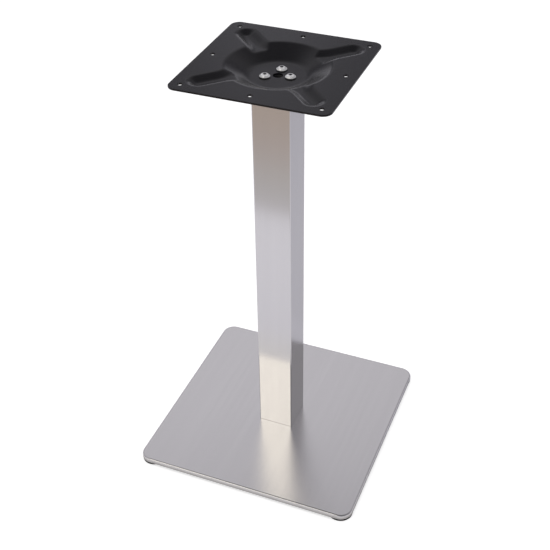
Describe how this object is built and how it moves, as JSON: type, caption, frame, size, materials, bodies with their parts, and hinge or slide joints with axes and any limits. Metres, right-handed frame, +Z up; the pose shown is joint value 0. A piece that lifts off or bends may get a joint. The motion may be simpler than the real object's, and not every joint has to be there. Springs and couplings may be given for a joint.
{
  "type": "outdoor table base",
  "caption": "Square table base: flat brushed steel foot, square column and black pressed top plate with screw holes for a table top; the levelling feet screw in and out.",
  "frame": {"origin": "on the floor, under the middle of the square base", "axes": "+Z up along the column, X and Y along the sides of the base and the top plate"},
  "size_m": [0.4, 0.4, 0.725],
  "materials": {
    "black_powder_coat": "satin black powder coat",
    "brushed_stainless": "brushed, grain along the column",
    "mill_steel": "mill finish",
    "primed_steel": "matt black primer",
    "bright_steel": "bright, turned and cold headed",
    "black_nylon": "moulded, fine satin"
  },
  "bodies": {
    "base": {"top_plate": "black_powder_coat", "column_tube": "brushed_stainless", "base_cover": "brushed_stainless", "column_top_flange": "mill_steel", "column_bottom_flange": "mill_steel", "ballast_plate": "primed_steel", "top_bolt_1": "bright_steel", "top_washer_1": "bright_steel", "bottom_bolt_1": "bright_steel", "top_bolt_2": "bright_steel", "top_washer_2": "bright_steel", "bottom_bolt_2": "bright_steel", "top_bolt_3": "bright_steel", "top_washer_3": "bright_steel", "bottom_bolt_3": "bright_steel"},
    "foot_1_screw": {"foot_stud_1": "bright_steel"},
    "foot_1_sole": {"foot_pad_1": "black_nylon"},
    "foot_2_screw": {"foot_stud_2": "bright_steel"},
    "foot_2_sole": {"foot_pad_2": "black_nylon"},
    "foot_3_screw": {"foot_stud_3": "bright_steel"},
    "foot_3_sole": {"foot_pad_3": "black_nylon"},
    "foot_4_screw": {"foot_stud_4": "bright_steel"},
    "foot_4_sole": {"foot_pad_4": "black_nylon"}
  },
  "joints": [
    {"name": "foot_1_travel", "type": "slide", "parent": "base", "child": "foot_1_screw", "axis": [0, 0, -1], "range_m": [0, 0.0035]},
    {"name": "foot_1_turn", "type": "hinge", "parent": "foot_1_screw", "child": "foot_1_sole", "pos_m": [-0.178, -0.178, 0], "axis": [0, 0, -1], "range_deg": [0, 1007.5]},
    {"name": "foot_2_travel", "type": "slide", "parent": "base", "child": "foot_2_screw", "axis": [0, 0, -1], "range_m": [0, 0.0035]},
    {"name": "foot_2_turn", "type": "hinge", "parent": "foot_2_screw", "child": "foot_2_sole", "pos_m": [0.178, -0.178, 0], "axis": [0, 0, -1], "range_deg": [0, 1007.5]},
    {"name": "foot_3_travel", "type": "slide", "parent": "base", "child": "foot_3_screw", "axis": [0, 0, -1], "range_m": [0, 0.0035]},
    {"name": "foot_3_turn", "type": "hinge", "parent": "foot_3_screw", "child": "foot_3_sole", "pos_m": [0.178, 0.178, 0], "axis": [0, 0, -1], "range_deg": [0, 1007.5]},
    {"name": "foot_4_travel", "type": "slide", "parent": "base", "child": "foot_4_screw", "axis": [0, 0, -1], "range_m": [0, 0.0035]},
    {"name": "foot_4_turn", "type": "hinge", "parent": "foot_4_screw", "child": "foot_4_sole", "pos_m": [-0.178, 0.178, 0], "axis": [0, 0, -1], "range_deg": [0, 1007.5]}
  ],
  "couplings": [
    {"joint": "foot_1_travel", "follows": "foot_1_turn", "m_per_rad": 0.00019894},
    {"joint": "foot_2_travel", "follows": "foot_2_turn", "m_per_rad": 0.00019894},
    {"joint": "foot_3_travel", "follows": "foot_3_turn", "m_per_rad": 0.00019894},
    {"joint": "foot_4_travel", "follows": "foot_4_turn", "m_per_rad": 0.00019894}
  ]
}
